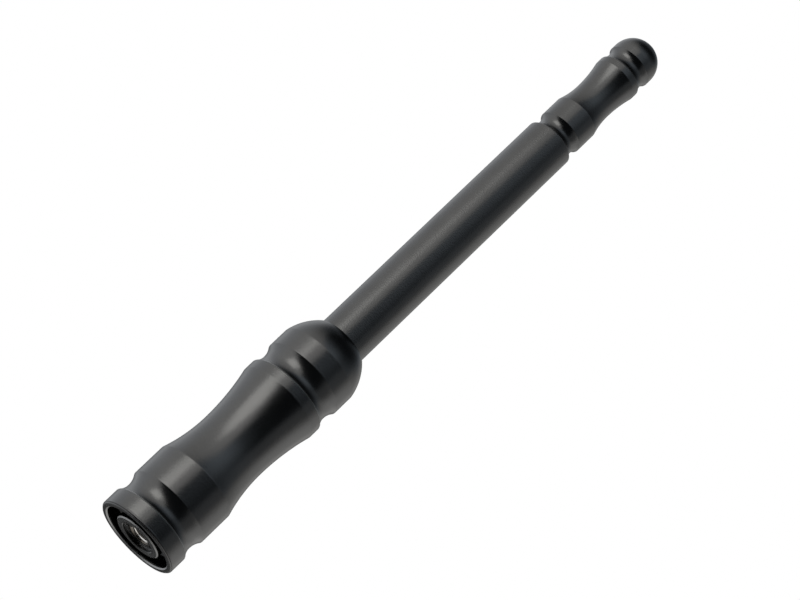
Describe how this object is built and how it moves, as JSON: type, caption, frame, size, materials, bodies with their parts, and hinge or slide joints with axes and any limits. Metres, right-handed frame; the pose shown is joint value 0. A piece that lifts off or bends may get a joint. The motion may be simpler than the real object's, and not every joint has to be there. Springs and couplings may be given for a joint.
{
  "type": "vehicle antenna mast",
  "caption": "Short turned metal antenna: a waisted, grooved base with a hollow foot and tapped hole, a plain round rod, and a slim waisted tip ending in a ball.",
  "frame": {"origin": "on the axis, in the plane of the foot ring that stands on the vehicle's antenna seat", "axes": "+Z along the axis from the foot to the ball end; X and Y lie in the foot plane and are free, because the part is a body of revolution"},
  "size_m": [0.0242, 0.0242, 0.2027],
  "materials": {
    "satin_black": "black anodised, satin",
    "grained_black": "black anodised over a fine blasted grain",
    "bare_steel": "bare machined"
  },
  "bodies": {
    "root": {"base": "satin_black", "threaded_insert": "bare_steel", "rod": "grained_black", "tip": "satin_black"}
  },
  "joints": []
}
